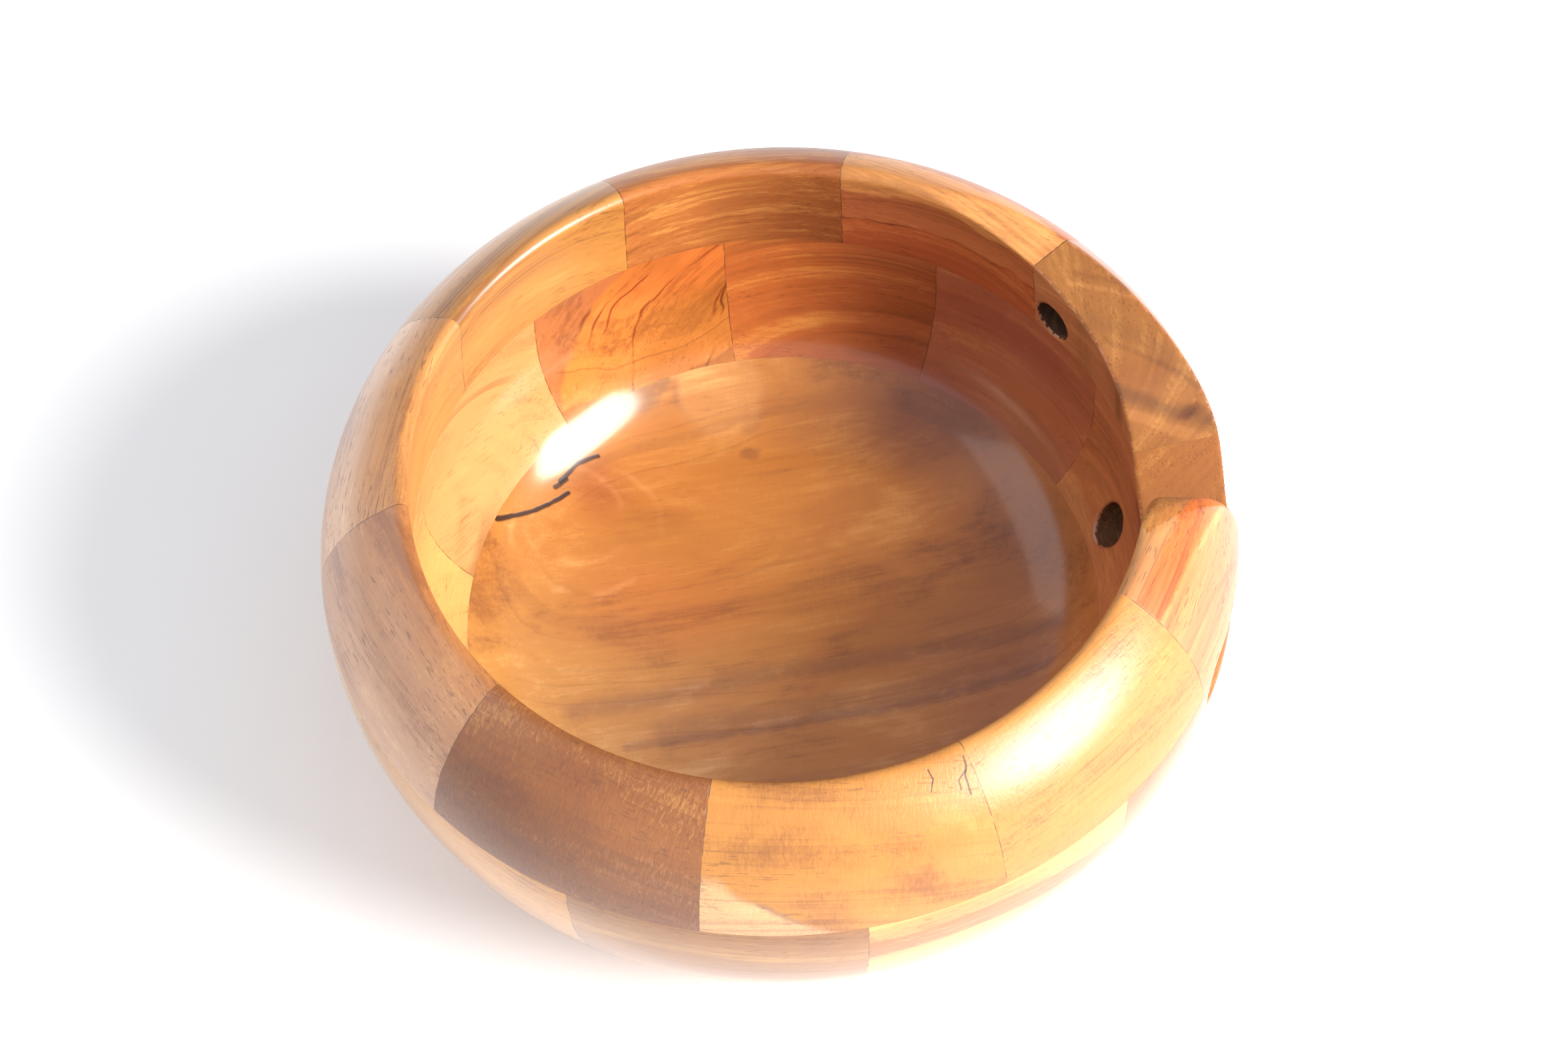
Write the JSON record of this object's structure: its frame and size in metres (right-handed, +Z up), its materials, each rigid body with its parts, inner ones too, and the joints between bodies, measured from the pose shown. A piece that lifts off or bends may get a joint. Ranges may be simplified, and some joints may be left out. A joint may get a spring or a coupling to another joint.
{
  "type": "yarn bowl",
  "caption": "Round turned wooden yarn bowl glued up from a base board and two segmented rings, with a ramped J-shaped yarn slot and small drilled holes.",
  "frame": {"origin": "centre of the flat foot, on the surface the bowl stands on, on the axis it was turned about", "axes": "+Z up, along the turning axis; +X towards the mouth of the yarn slot; +Y anticlockwise from it, seen from above"},
  "size_m": [0.1496, 0.15, 0.07],
  "materials": {
    "base_heartwood": "gloss",
    "golden_wood": "gloss",
    "peach_wood": "gloss",
    "brown_wood": "gloss",
    "orange_wood": "gloss",
    "cream_wood": "gloss",
    "red_brown_wood": "gloss"
  },
  "bodies": {
    "root": {"base_board": "base_heartwood", "wall_segment_01": "red_brown_wood", "wall_segment_02": "red_brown_wood", "wall_segment_03": "orange_wood", "wall_segment_04": "cream_wood", "wall_segment_05": "cream_wood", "wall_segment_06": "cream_wood", "wall_segment_07": "brown_wood", "wall_segment_08": "cream_wood", "wall_segment_09": "red_brown_wood", "wall_segment_10": "red_brown_wood", "rim_segment_01": "golden_wood", "rim_segment_02": "peach_wood", "rim_segment_03": "golden_wood", "rim_segment_04": "golden_wood", "rim_segment_05": "peach_wood", "rim_segment_06": "brown_wood", "rim_segment_07": "brown_wood", "rim_segment_08": "golden_wood", "rim_segment_09": "golden_wood", "rim_segment_10": "orange_wood"}
  },
  "joints": []
}
